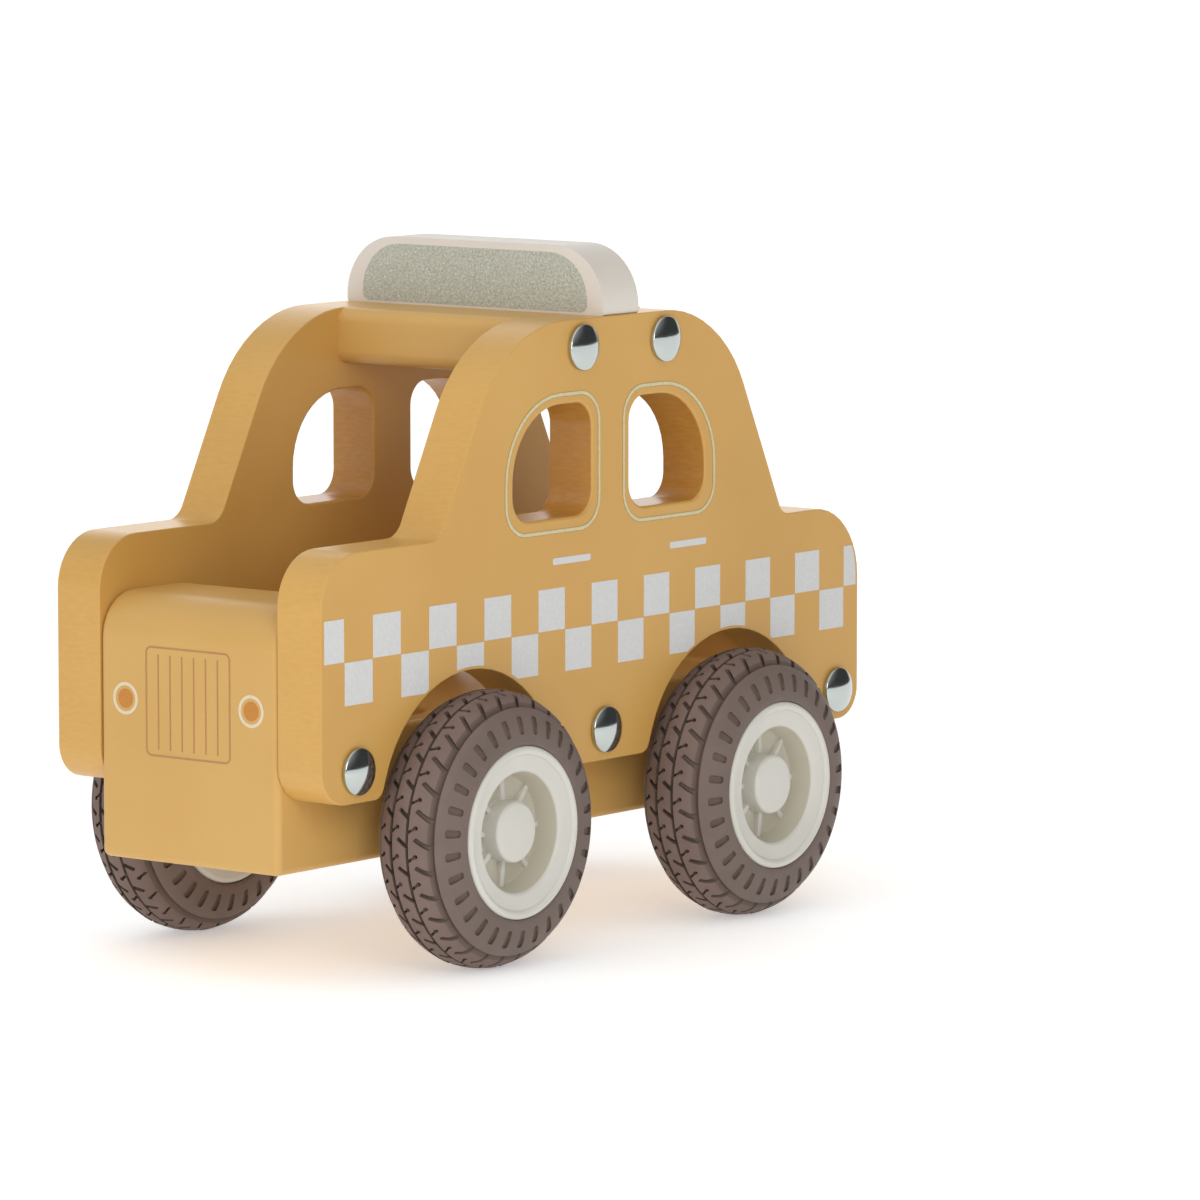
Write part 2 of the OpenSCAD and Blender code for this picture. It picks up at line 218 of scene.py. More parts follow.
# %% [markdown]
# ## Colour and nodes
# Colours are written as sRGB hex values, as read off a picture, and one function turns them into the linear
# values that Blender's shaders use. A second small function adds any node, sets it and links it. All
# patterns read Object coordinates, which are metres from the toy's origin, so a pattern's scale is one over
# its real size.

# %% Material helpers
def colour(text):
    parts = [int(text[i : i + 2], 16) / 255 for i in (1, 3, 5)]
    return tuple(c / 12.92 if c <= 0.04045 else ((c + 0.055) / 1.055) ** 2.4 for c in parts) + (1.0,)


def add(tree, kind, links=None, to=None, stops=(), **settings):
    """Adds a node, links sockets into it by name, sets it and a ramp's stops, and links its result on."""
    node = tree.nodes.new(kind)
    for name, value in settings.items():
        if hasattr(node, name):
            setattr(node, name, value)
        else:
            node.inputs[name.replace("_", " ")].default_value = value
    for name, output in (links or {}).items():
        tree.links.new(output, node.inputs[name])
    for at, text in stops:
        steps = node.color_ramp.elements
        step = steps[0] if at == stops[0][0] else steps[-1] if at == stops[-1][0] else steps.new(at)
        step.position, step.color = at, colour(text)
    if to:
        tree.links.new(node.outputs[0], to)
    return node


def material(name, **settings):
    """A new Principled material, with its node tree, its shader and its Object coordinates."""
    made = bpy.data.materials.new(name)
    made.use_nodes = True
    tree, shader = made.node_tree, made.node_tree.nodes["Principled BSDF"]
    for socket, value in settings.items():
        shader.inputs[socket.replace("_", " ")].default_value = value
    return made, tree, shader, add(tree, "ShaderNodeTexCoord").outputs["Object"]


# %% [markdown]
# ## Painted wood
# The boards and the block are smooth hardwood under a satin ochre paint. Sprayed paint is almost even in
# colour: it clouds a little over a few centimetres, and dries with a fine orange peel of about half a
# millimetre. That peel is what breaks up the shine, so it goes into the bump and the roughness. The block's
# paint is a shade paler than the boards', as painted light for its front, which faces the light. Sawn edges
# drink the first coat, so fine fibres show through there; their paint is a shade paler too, as painted light
# on the tops and fronts. Inside the small windows fibres show as well, and the paint there is darker and
# browner, as painted shade in the openings. The same paint has a version for each.

# %% Paint
def paint(name, light, dark, rough, fibre=0.0):
    # Satin paint: an even colour with a soft, slightly broken shine.
    made, tree, shader, place = material(name, IOR=1.48)
    cloud = add(tree, "ShaderNodeTexNoise", {"Vector": place}, Scale=1 / (25 * MM), Detail=3.0)
    peel = add(tree, "ShaderNodeTexNoise", {"Vector": place}, Scale=1 / (0.5 * MM), Detail=2.0)
    along = add(tree, "ShaderNodeMapping", {"Vector": place}, Scale=(0.5, 0.12, 0.5))
    fibres = add(tree, "ShaderNodeTexNoise", {"Vector": along.outputs[0]}, Scale=1 / (0.22 * MM), Detail=3.0)
    blend = add(tree, "ShaderNodeMix", {"A": cloud.outputs[0], "B": fibres.outputs[0]},
                Factor=0.12 + fibre * 0.6)
    add(tree, "ShaderNodeValToRGB", {"Fac": blend.outputs[0]}, shader.inputs["Base Color"],
        [(0.36, dark), (0.64, light)])
    add(tree, "ShaderNodeMapRange", {"Value": peel.outputs[0]}, shader.inputs["Roughness"],
        To_Min=rough - 0.06, To_Max=rough + 0.06)
    relief = add(tree, "ShaderNodeMix", {"A": peel.outputs[0], "B": fibres.outputs[0]}, Factor=fibre)
    add(tree, "ShaderNodeBump", {"Height": relief.outputs[0]}, shader.inputs["Normal"],
        Strength=0.22 + 0.3 * fibre, Distance=0.03 * MM)
    return made


ochre = paint("satin_ochre_paint_on_board", "#D1A357", "#CC9D51", 0.4)
# The block's paint is paler than the boards': painted light for its front, which faces the light.
ochre_block_painted_light = paint("satin_ochre_paint_on_block_with_painted_light", "#D3A860", "#CEA25A", 0.4)
# Sawn edges: fibres show through, and the paler tone is painted light on the tops and fronts.
ochre_edge_painted_light = paint("satin_ochre_paint_with_painted_light_on_sawn_edge", "#D6A85B", "#CE9F52", 0.36, fibre=0.5)
# Window reveals: fibres show through, and the darker, browner tone is painted shade inside the openings.
ochre_window_painted_shade = paint("ochre_paint_with_painted_shade_in_routed_window", "#C6924A", "#B88239", 0.34, fibre=0.6)
cream = paint("satin_cream_paint_on_hardwood", "#E0D9CF", "#DBD3C8", 0.5)
print("paints:", ochre.name, ochre_block_painted_light.name, ochre_edge_painted_light.name, ochre_window_painted_shade.name, cream.name)

# %% [markdown]
# ## Side boards
# The outline has the bonnet, the screens, the roof and the two wheel arches in one run of corners. An arch
# is part of a circle: three lines that touch the circle, with corners of its own radius, give the same
# curve. The windows are cut out with two smaller plates, and then every sharp rim is rounded, as a sander
# rounds it. The windows are routed, so their rims stay crisper. Faces that don't look sideways are sawn
# edges and get the edges' paint.

# %% Side boards
ARCH_R, ARCH_UP, ARCH_FOOT = 19.6, 21.6, 2.0
TOUCH = math.radians(20)
SCREEN_FOOT, SCREEN_LEAN = 36.0, math.radians(27.2)
BACK_FOOT, BACK_LEAN = -42.6, math.radians(25.5)
WINDOW_LOW, WINDOW_HIGH, WINDOW_NEAR, WINDOW_FAR = 60.6, 76.4, 4.3, 21.9
WINDOW_SMALL, WINDOW_BROW = 3.5, 10.5
WINDOW_RIM, BOARD_RIM, RIM_REACH = 0.45, 0.7, 0.6


def arch(x):
    """Corners of a wheel arch, from its rear foot to its front foot."""
    foot = ARCH_R / math.cos(TOUCH) - (SILL - ARCH_UP) * math.tan(TOUCH)
    head = ARCH_R * math.tan((math.pi / 2 - TOUCH) / 2)
    top = ARCH_UP + ARCH_R
    return [
        (x - foot, SILL, ARCH_FOOT), (x - head, top, ARCH_R),
        (x + head, top, ARCH_R), (x + foot, SILL, ARCH_FOOT),
    ]


def window(near, far, low, high, small, brow):
    """Corners of a window: its pillar's side, its far side with the large corner, its foot and its head."""
    return [(near, low, small), (far, low, small), (far, high, brow), (near, high, small)]


WINDOWS = [
    window(PILLAR + way * WINDOW_NEAR, PILLAR + way * WINDOW_FAR, WINDOW_LOW, WINDOW_HIGH,
           WINDOW_SMALL, WINDOW_BROW)
    for way in (1, -1)
]
PROFILE = [
    (REAR, SILL, 4.5), *arch(AXLES["rear"]), *arch(AXLES["front"]), (FRONT, SILL, 5.0),
    (FRONT, HOOD, 7.5), (SCREEN_FOOT, HOOD, 3.5),
    (SCREEN_FOOT - (ROOF - HOOD) * math.tan(SCREEN_LEAN), ROOF, 21.0),
    (BACK_FOOT + (ROOF - BOOT) * math.tan(BACK_LEAN), ROOF, 20.5),
    (BACK_FOOT, BOOT, 2.5), (REAR, BOOT, 10.5),
]


def in_window(place):
    """Whether a place is in a window or on its rim."""
    beside, up = abs(place.x / MM - PILLAR), place.z / MM
    return WINDOW_LOW - RIM_REACH < up < WINDOW_HIGH + RIM_REACH and beside < WINDOW_FAR + RIM_REACH


def on_car(piece, node=None):
    """Puts a piece on the car's body and, if it stands for a solid, hides that solid."""
    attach(piece, "car_body")
    if node:
        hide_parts(node)


for side, low in (("left", INNER), ("right", -OUTER)):
    board = plate("board_" + side, PROFILE, low, low + OUTER - INNER)
    cut(board, *[plate("opening", corners, low - 1, low + OUTER - INNER + 1) for corners in WINDOWS])
    rims = round_rims(board, WINDOW_RIM, where=lambda e: all(in_window(v.co) for v in e.verts))
    rims += round_rims(board, BOARD_RIM)
    smooth(board)
    for look in (ochre, ochre_edge_painted_light, ochre_window_painted_shade):
        board.data.materials.append(look)
    # Sideways faces take the board's paint, window reveals the darker paint of painted shade, other edges the
    # paler paint of painted light.
    for face in board.data.polygons:
        face.material_index = 0 if abs(face.normal.y) > 0.3 else 2 if in_window(face.center) else 1
    on_car(board, "side_panel_" + side)
    print(board.name, "rims:", rims, "faces:", len(board.data.polygons))

# %% [markdown]
# ## Block, roof bar and sign
# The block is one outline too: bonnet, cabin floor and boot. The axles' bores and the round seat hole are
# cut with cylinders. The bar between the boards carries the sign, a cream plate that stands across the car.

# %% Block
SMALL, LARGE, BLOCK_RIM, SEAT_RIM = 1.0, 6.0, 1.1, 0.8


def on_seat_rim(edge):
    """Whether an edge is on the seat hole's upper rim."""
    middle = Vector((SEAT_X, 0)) * MM
    return all(
        abs(v.co.z - FLOOR * MM) < 0.01 * MM and abs((v.co.xy - middle).length - SEAT_R * MM) < 0.1 * MM
        for v in edge.verts
    )


block = plate("block", [
    (REAR, UNDER, SMALL), (FRONT, UNDER, SMALL), (FRONT, NOSE, LARGE), (CABIN_FRONT, NOSE, SMALL),
    (CABIN_FRONT, FLOOR, SMALL), (CABIN_REAR, FLOOR, SMALL), (CABIN_REAR, TAIL, SMALL), (REAR, TAIL, LARGE),
], -INNER, INNER, steps=6)
round_rims(block, BLOCK_RIM)
cut(block, cylinder(SEAT_R, 20, (SEAT_X, 0, FLOOR + 1), "z"))
round_rims(block, SEAT_RIM, where=on_seat_rim)
cut(block, *[cylinder(BORE_R, 40, (x, 0, AXLE_UP), "y") for x in AXLES.values()])
smooth(block)
# The block takes the paler paint, which is painted light.
block.data.materials.append(ochre_block_painted_light)
on_car(block, "chassis_block")
print("block faces:", len(block.data.polygons))

# %% Bar and sign
BAR_X, BAR_H, BAR_ROUND = (-19.9, 10.1), 8, 2.0
bar = plate("bar", rectangle(*BAR_X, ROOF - BAR_H, ROOF, BAR_ROUND), -INNER, INNER)
smooth(bar)
bar.data.materials.append(ochre_block_painted_light)
on_car(bar, "roof_bar")

SIGN_X, SIGN_HALF, SIGN_TOP, SIGN_RIM = (-8.9, -0.9), 23.4, 97.7, 0.8
sign_shape = rectangle(-SIGN_HALF, SIGN_HALF, ROOF, SIGN_TOP, 0.4, 8.6)
sign = plate("sign", sign_shape, *SIGN_X, across="x", steps=14)
round_rims(sign, SIGN_RIM, where=lambda e: max(v.co.z for v in e.verts) > (ROOF + 0.5) * MM)
smooth(sign)
sign.data.materials.append(cream)
on_car(sign, "roof_sign")
print("bar and sign faces:", len(bar.data.polygons), len(sign.data.polygons))

# %% [markdown]
# ## Printing inks
# The pattern is printed on the paint, and ink has almost no height. Each print is a plate that stands
# 0.04 mm proud of the board, so its edges stay crisp at any distance. Screen ink is flat and dries slightly
# grainy.

# %% Inks
SUNK, PROUD = 0.02, 0.04


def ink(name, stops, grit, twist=0.0):
    # Screen ink: matt, with a fine grain where the mesh left more or less of it.
    made, tree, shader, place = material(name, Roughness=0.55, IOR=1.48)
    speck = add(tree, "ShaderNodeTexNoise", {"Vector": place},
                Scale=1 / (grit * MM), Detail=2.0, Distortion=twist)
    add(tree, "ShaderNodeValToRGB", {"Fac": speck.outputs[0]}, shader.inputs["Base Color"], stops)
    return made


white_ink = ink("white_screen_ink", [(0.35, "#D0D0CF"), (0.65, "#D6D6D5")], 0.4)
line_ink = ink("beige_screen_ink", [(0.35, "#CBC197"), (0.65, "#D5CBA3")], 0.4)
line_edge_ink = ink("dull_brown_screen_ink", [(0.35, "#A98F5C"), (0.65, "#B59A66")], 0.4)
grille_ink = ink("brown_screen_ink", [(0.35, "#AF7F4C"), (0.65, "#B88756")], 0.3)
headlight_ring_ink = ink("cream_screen_ink", [(0.35, "#DACAAB"), (0.65, "#E1D3B6")], 0.3)
headlight_ink = ink("orange_screen_ink", [(0.35, "#BE7C2E"), (0.65, "#C68537")], 0.3)


def join(name, pieces):
    activate(pieces[0])
    for piece in pieces:
        piece.select_set(True)
    if len(pieces) > 1:
        bpy.ops.object.join()
    pieces[0].name = pieces[0].data.name = name
    return pieces[0]


def ring(corners, low, high, width, across="y"):
    """A line along an outline: both faces of a plate are inset, and what lies inside is bridged to a hole."""
    piece = plate("line", corners, low, high, across)
    edit(piece, "FACE")
    pick(piece, "FACE", lambda f: abs(f.normal["xy".index(across)]) > 0.9)
    bpy.ops.mesh.inset(thickness=width * MM)
    bpy.ops.mesh.bridge_edge_loops()
    tidy_mesh(piece)
    return piece


def printed(name, pieces, look):
    made = join(name, pieces)
    made.data.materials.append(look)
    on_car(made)
    print(name, "faces:", len(made.data.polygons))


# %% [markdown]
# ## Checks, window lines and door handles
# The two rows of checks are one small plate, repeated by an array along the board. The arches cut into the
# lower row, and the board's rounded ends cut off the first and the last check. A window's line is a pale
# ring on a slightly wider dull one, which leaves the fine darker edge that the print has.

# %% Prints on the boards
CHECK, CHECK_TOP, CHECK_START, CHECK_GAP = 6.0, 50.85, 62.4, 0.06
UPPER_CHECKS, LOWER_CHECKS = 11, 10
CHECK_MARGIN, END_R_FRONT, END_R_REAR = 0.6, 6.9, 9.9
LINE_LOW, LINE_HIGH, LINE_SMALL, LINE_BROW = 58.4, 78.1, 4.6, 12.2
LINE_WIDTH, LINE_EDGE = 0.64, 0.1
LINE_FRAMES = ((0.3, 21.8), (-4.7, -26.4))
HANDLES_X, HANDLE_LOW, HANDLE_HIGH = ((2.6, 11.1), (-24.25, -15.7)), 54.05, 55.0


def layer(way, low, high):
    """Where a print on the left (1) or right (-1) board starts and ends along y."""
    return sorted((way * (OUTER + low), way * (OUTER + high)))


def check_row(first, count, top, low, high):
    """One row of checks, every second square from the front backwards."""
    right = CHECK_START - first * CHECK - CHECK_GAP
    left = CHECK_START - (first + 1) * CHECK + CHECK_GAP
    row = plate("row", rectangle(left, right, top - CHECK + CHECK_GAP, top - CHECK_GAP, 0), low, high)
    apply(row, "ARRAY", count=count, use_relative_offset=False, use_constant_offset=True,
          constant_offset_displace=(-2 * CHECK * MM, 0, 0))
    return row


def window_line(near, far, inset, low, high, width):
    """A ring round a window, drawn inset from the line's outer edge."""
    way = 1 if far > near else -1
    return ring(
        window(near + inset * way, far - inset * way, LINE_LOW + inset, LINE_HIGH - inset,
               LINE_SMALL - inset, LINE_BROW - inset),
        low, high, width,
    )


for side, way in (("left", 1), ("right", -1)):
    low, high = layer(way, -SUNK, PROUD)
    upper = check_row(0, UPPER_CHECKS, CHECK_TOP, low, high)
    lower = check_row(1, LOWER_CHECKS, CHECK_TOP - CHECK, low, high)
    checks = join("checks", [upper, lower])
    cut(checks, *[cylinder(ARCH_R + 0.45, 4, (x, way * OUTER, ARCH_UP), "y") for x in AXLES.values()])
    rear, front = REAR + CHECK_MARGIN, FRONT - CHECK_MARGIN
    combine(checks, "INTERSECT", plate("ends", [
        (rear, SILL, 0), (front, SILL, 0),
        (front, HOOD - CHECK_MARGIN, END_R_FRONT), (rear, BOOT - CHECK_MARGIN, END_R_REAR),
    ], low - 1, high + 1))
    tidy_mesh(checks)
    printed("checks_" + side, [checks], white_ink)

    edges = [window_line(*ends, 0, low, high, LINE_WIDTH) for ends in LINE_FRAMES]
    printed("window_line_edges_" + side, edges, line_edge_ink)
    over = layer(way, PROUD - SUNK, PROUD + SUNK)
    pale = LINE_WIDTH - 2 * LINE_EDGE
    lines = [window_line(*ends, LINE_EDGE, *over, pale) for ends in LINE_FRAMES]
    printed("window_lines_" + side, lines, line_ink)

    handles = [
        plate("handle", rectangle(*ends, HANDLE_LOW, HANDLE_HIGH, 0.3), low, high, steps=4)
        for ends in HANDLES_X
    ]
    printed("door_handles_" + side, handles, white_ink)

# %% [markdown]
# ## Prints on the front and on the sign
# The front of the block has a printed grille, a rounded frame with six upright lines, and a headlight on
# each side, a cream ring round an orange disc. They are drawn as the checks were, on the front face instead
# of the side. The sign's front has a grey-green patch with a fine speckle of lighter and darker dots.

# %% Prints on the front
low, high = FRONT - SUNK, FRONT + PROUD
GRILLE_HALF, GRILLE_LOW, GRILLE_HIGH, GRILLE_LINE = 7.65, 30.1, 45.3, 0.26
STRIPES, STRIPE_HALF, STRIPE_LOW, STRIPE_HIGH = (-5.35, -3.21, -1.07, 1.07, 3.21, 5.35), 0.11, 31.1, 44.2
grille_shape = rectangle(-GRILLE_HALF, GRILLE_HALF, GRILLE_LOW, GRILLE_HIGH, 1.0)
grille = [ring(grille_shape, low, high, GRILLE_LINE, "x")]
for y in STRIPES:
    stripe = rectangle(y - STRIPE_HALF, y + STRIPE_HALF, STRIPE_LOW, STRIPE_HIGH, 0)
    grille.append(plate("bar", stripe, low, high, "x"))
printed("grille", grille, grille_ink)

HEADLIGHTS, HEADLIGHT_UP = (11.35, -11.35), 37.7
RING_R, RING_WIDTH, DISC_R = 2.25, 0.45, 1.33


def disc(y, r):
    """Corners of a disc about a headlight's middle, just short of meeting where they round."""
    return rectangle(y - r, y + r, HEADLIGHT_UP - r, HEADLIGHT_UP + r, r * 0.999)


rings = [ring(disc(y, RING_R), low, high, RING_WIDTH, "x") for y in HEADLIGHTS]
printed("headlight_rings", rings, headlight_ring_ink)
discs = [plate("disc", disc(y, DISC_R), low, high, "x") for y in HEADLIGHTS]
printed("headlight_discs", discs, headlight_ink)

# %% The sign's patch
patch_stops = [(0.34, "#9FA294"), (0.5, "#B7B8AB"), (0.66, "#CDCEC2")]
patch_ink = ink("speckled_grey_green_ink", patch_stops, 0.28, twist=1.0)
PATCH_HALF, PATCH_LOW, PATCH_HIGH = 20.45, ROOF + 0.3, SIGN_TOP - 1.0
patch_shape = rectangle(-PATCH_HALF, PATCH_HALF, PATCH_LOW, PATCH_HIGH, 1.2, 6.7)
patch = plate("patch", patch_shape, SIGN_X[1] - SUNK, SIGN_X[1] + PROUD, across="x", steps=14)
printed("sign_patch", [patch], patch_ink)

# %% [markdown]
# ## Rivets
# A rivet's head is a shallow chromed dome with a tight, upright rim. Half of its section is drawn as a line
# and spun round the axis, which is how a lathe or a die makes such a form. One is made and copied to the
# ten places.

# %% Lathe and copies
def lathe(name, section, steps=96, turn=2 * math.pi):
    """Spins a section of (radius, out) points in mm round the y axis, half of the turn to each side of +X."""
    across, down = math.cos(turn / 2), math.sin(turn / 2)
    piece = flat_start(name, [(r * across, out, -r * down) for r, out in section])
    edit(piece, "EDGE")
    bpy.ops.mesh.select_all(action="SELECT")
    bpy.ops.mesh.delete(type="ONLY_FACE")
    bpy.ops.mesh.select_all(action="SELECT")
    bpy.ops.mesh.spin(steps=steps, angle=turn, center=(0, 0, 0), axis=(0, 1, 0))
    bpy.ops.mesh.select_all(action="SELECT")
    bpy.ops.mesh.remove_doubles(threshold=0.002 * MM)
    bpy.ops.mesh.dissolve_degenerate(threshold=0.001 * MM)
    tidy_mesh(piece)
    return piece


def repeat_round(count):
    """Repeats what is selected in edit mode round the y axis, to count in all."""
    bpy.ops.mesh.spin(
        steps=count - 1, angle=2 * math.pi * (count - 1) / count,
        center=(0, 0, 0), axis=(0, 1, 0), dupli=True,
    )


def copy_to(piece, name, place):
    """A copy with its own mesh, moved by a matrix."""
    made = piece.copy()
    made.data = piece.data.copy()
    made.name = made.data.name = name
    bpy.context.scene.collection.objects.link(made)
    made.data.transform(place)
    return made


def arc(centre, radius, start, end, steps):
    """Points of an arc in a section, angles in degrees from the outward radius."""
    return [
        (centre[0] + radius * math.cos(a), centre[1] + radius * math.sin(a))
        for a in np.radians(np.linspace(start, end, steps + 1))
    ]


# %% Rivets
# Chrome plate: a near-perfect mirror with a faint haze from handling.
chrome, tree, shader, place = material("polished_chrome_plate", Base_Color=colour("#BFC6C3"), Metallic=1.0)
wipe = add(tree, "ShaderNodeTexNoise", {"Vector": place}, Scale=1 / (1.5 * MM), Detail=4.0)
add(tree, "ShaderNodeMapRange", {"Value": wipe.outputs[0]}, shader.inputs["Roughness"],
    To_Min=0.06, To_Max=0.17)

DOME_R, HEAD_R, HEAD_H, RIM_R, LEDGE = 6.6, 3.25, 1.5, 0.25, 0.15
SHANK_R, SHANK_END, SUNK_HEAD = 1.5, -2.0, -0.1
tilt = math.asin((HEAD_R - RIM_R) / (DOME_R - RIM_R))
rim_up = HEAD_H - DOME_R + (DOME_R - RIM_R) * math.cos(tilt)
start = 90 - math.degrees(tilt)
dome = arc((0, HEAD_H - DOME_R), DOME_R, 90, start, 12)
rim = arc((HEAD_R - RIM_R, rim_up), RIM_R, start, 0, 6)[1:]
head = lathe("rivet_head", [
    *dome, *rim, (HEAD_R, LEDGE), (HEAD_R - LEDGE, 0.06), (HEAD_R - LEDGE, SUNK_HEAD),
    (SHANK_R, SUNK_HEAD), (SHANK_R, SHANK_END), (0, SHANK_END),
])
smooth(head, 40)
head.data.materials.append(chrome)
LOW_ROW, ROOF_ROW = 29.77, 84.1
RIVETS = {
    "front": (53.8, LOW_ROW), "middle": (-0.7, LOW_ROW), "rear": (-55.9, LOW_ROW),
    "roof_front": (4.5, ROOF_ROW), "roof_rear": (-14.3, ROOF_ROW),
}
for side, y, turned in (("left", OUTER, 0), ("right", -OUTER, math.pi)):
    for at, (x, z) in RIVETS.items():
        spot = Matrix.Translation(Vector((x, y, z)) * MM) @ Matrix.Rotation(turned, 4, "Z")
        on_car(copy_to(head, f"rivet_head_{side}_{at}", spot), f"rivet_{side}_{at}")
bpy.data.objects.remove(head)
print("rivets:", len(RIVETS) * 2)

# %% [markdown]
# ## Hubs
# A hub is moulded in one piece: a half-round lip, a band that falls to a dish, a flat boss in its middle,
# and low gussets between boss and dish. The round part is a section that is spun. One gusset is a small
# plate, and the spin tool repeats it. The dish's floor and wall get a plastic a tone darker and warmer,
# which is painted shade in the hollow of the dish.

# %% Hubs
def moulded(name, light, dark, rough):
    # Injection-moulded plastic: a soft even sheen, slight flow clouds and a fine skin. Light enters it a bit.
    made, tree, shader, place = material(
        name, IOR=1.5, Roughness=rough, Subsurface_Weight=0.15, Subsurface_Scale=1.2 * MM,
        Subsurface_Radius=(1.0, 0.85, 0.6),
    )
    flow = add(tree, "ShaderNodeTexNoise", {"Vector": place}, Scale=1 / (9 * MM), Detail=2.0)
    add(tree, "ShaderNodeValToRGB", {"Fac": flow.outputs[0]}, shader.inputs["Base Color"],
        [(0.3, dark), (0.7, light)])
    skin = add(tree, "ShaderNodeTexNoise", {"Vector": place}, Scale=1 / (0.3 * MM), Detail=2.0)
    add(tree, "ShaderNodeBump", {"Height": skin.outputs[0]}, shader.inputs["Normal"],
        Strength=0.1, Distance=0.02 * MM)
    return made


BOSS_R, BOSS_OUT, BOSS_ROUND = 4.25, 5.5, 0.55
DISH_R, DISH_OUT = 8.38, 2.3
RIM_EDGE, BARREL_R, BARREL_HALF = 12.0, 10.5, 5.6
HOLLOW_R, HOLLOW_IN, CORE_R, CORE_END = 8.9, 0.5, 4.3, -9.0
boss = [(0, BOSS_OUT), *arc((BOSS_R - BOSS_ROUND, BOSS_OUT - BOSS_ROUND), BOSS_ROUND, 90, 0, 6)]
dish = [
    *arc((BOSS_R + 0.3, DISH_OUT + 0.3), 0.3, 180, 270, 3),
    *arc((7.35, DISH_OUT + 0.45), 0.45, -90, -8, 4), (DISH_R, 5.55),
]
band = [*arc((8.98, 5.6), 0.6, 170, 100, 5), (10.62, 6.44), (10.78, 6.42)]
lip = arc((11.36, 6.26), 0.64, 165, 0, 12)
barrel = [
    (RIM_EDGE, BARREL_HALF), (BARREL_R, BARREL_HALF), (BARREL_R, -BARREL_HALF), (RIM_EDGE, -BARREL_HALF),
]
back = [
    *arc((11.1, -6.0), 0.9, 0, -90, 6), (HOLLOW_R, -6.9), (HOLLOW_R, HOLLOW_IN),
    (CORE_R, HOLLOW_IN), (CORE_R, CORE_END), (0, CORE_END),
]
hub = lathe("hub", boss + dish + band + lip + barrel + back)

GUSSETS, GUSSET_HALF, GUSSET_ROOT, GUSSET_END = 8, 0.4, 0.4, 8.1
gusset = plate("gusset", [
    (DISH_OUT - GUSSET_ROOT, BOSS_R - GUSSET_ROOT, 0), (DISH_OUT - GUSSET_ROOT, GUSSET_END, 0),
    (DISH_OUT + 0.5, GUSSET_END, 0), (DISH_OUT + 0.85, BOSS_R - GUSSET_ROOT, 0),
], -GUSSET_HALF, GUSSET_HALF, across="x")
round_rims(gusset, 0.12, 2)
edit(gusset, "FACE")
bpy.ops.mesh.select_all(action="SELECT")
repeat_round(GUSSETS)
bpy.ops.object.mode_set(mode="OBJECT")
combine(hub, "UNION", gusset)
tidy_mesh(hub)
smooth(hub, 40)
hub.data.materials.append(moulded("moulded_cream_plastic", "#D6D4CC", "#D1CFC5", 0.38))
# The dish's floor and wall take a darker, warmer plastic: painted shade in the dish's hollow.
hub.data.materials.append(moulded("cream_plastic_with_painted_dish_shade", "#C8C2B1", "#C2BBA9", 0.42))
for face in hub.data.polygons:
    across, out = math.hypot(face.center.x, face.center.z) / MM, face.center.y / MM
    on_wall = 7.6 < across < DISH_R + 0.07 and out < 5.7
    on_floor = BOSS_R + 0.1 < across < DISH_R + 0.07 and out < DISH_OUT + 0.15
    face.material_index = out > DISH_OUT - 0.1 and (on_wall or on_floor)
print("hub faces:", len(hub.data.polygons), "in the dish:", sum(f.material_index for f in hub.data.polygons))

# %% [markdown]
# ## Tyres
# The tread is the finest form on the toy: three rows of blocks between two narrow grooves, with slanted
# slots and short stubs, and a row of shallow slots on each wall. It repeats 30 times round the tyre. So one
# wedge of a thirtieth is spun from the section, with its two grooves, and closed at its ends. The slots are
# cut out of it, the closed ends are taken off again, and the spin tool repeats the wedge round the wheel.

# %% The tyre's section
TYRE_R, PITCHES, GROOVES = 19.3, 30, (-1.2, 1.52)


def crown(a):
    """Radius of the tread at a distance a from the tyre's middle plane."""
    return TYRE_R - 1.05 * (a / 3.7) ** 2 - 0.75 * max(0.0, abs(a) - 3.5) ** 2


SHOULDER = [(17.3, 4.22), (16.82, 4.36), (16.78, 4.5), (17.08, 4.64)]
WALL = [
    (17.17, 4.82), (17.0, 5.08), (16.55, 5.42), (15.98, 5.75), (15.3, 6.04), (14.6, 6.27),
    (13.9, 6.44), (13.2, 6.55), (12.6, 6.6), (12.25, 6.57), (12.06, 6.45),
]
BEAD = [(12.06, 5.55), (10.6, 5.55)]
TREAD_HALF, GROOVE_HALF, GROOVE_FOOT, GROOVE_DEEP = 4.05, 0.24, 0.17, 1.0


def wall_out(radius):
    """How far out the wall lies at a radius."""
    radii, outs = zip(*reversed(WALL))
    return np.interp(radius, radii, outs)


spread = np.linspace(-TREAD_HALF, TREAD_HALF, 19)
tread = [(crown(a), a) for a in spread if all(abs(a - g) > 0.3 for g in GROOVES)]
for g in GROOVES:
    top, bottom = crown(g), crown(g) - GROOVE_DEEP
    tread += [(top, g - GROOVE_HALF), (bottom, g - GROOVE_FOOT)]
    tread += [(bottom, g + GROOVE_FOOT), (top, g + GROOVE_HALF)]
tread.sort(key=lambda spot: spot[1])
flank = SHOULDER + WALL + BEAD
section = tread + flank + [(r, -a) for r, a in reversed(flank)]
tyre = lathe("tyre", section, steps=4, turn=2 * math.pi / PITCHES)
edit(tyre, "EDGE")
for end in (-1, 1):
    bpy.ops.mesh.select_all(action="DESELECT")
    pick(tyre, "EDGE", lambda e: e.is_boundary and all(v.co.z * end > 0 for v in e.verts))
    bpy.ops.mesh.edge_face_add()
tidy_mesh(tyre)
print("section points:", len(section), "wedge faces:", len(tyre.data.polygons))


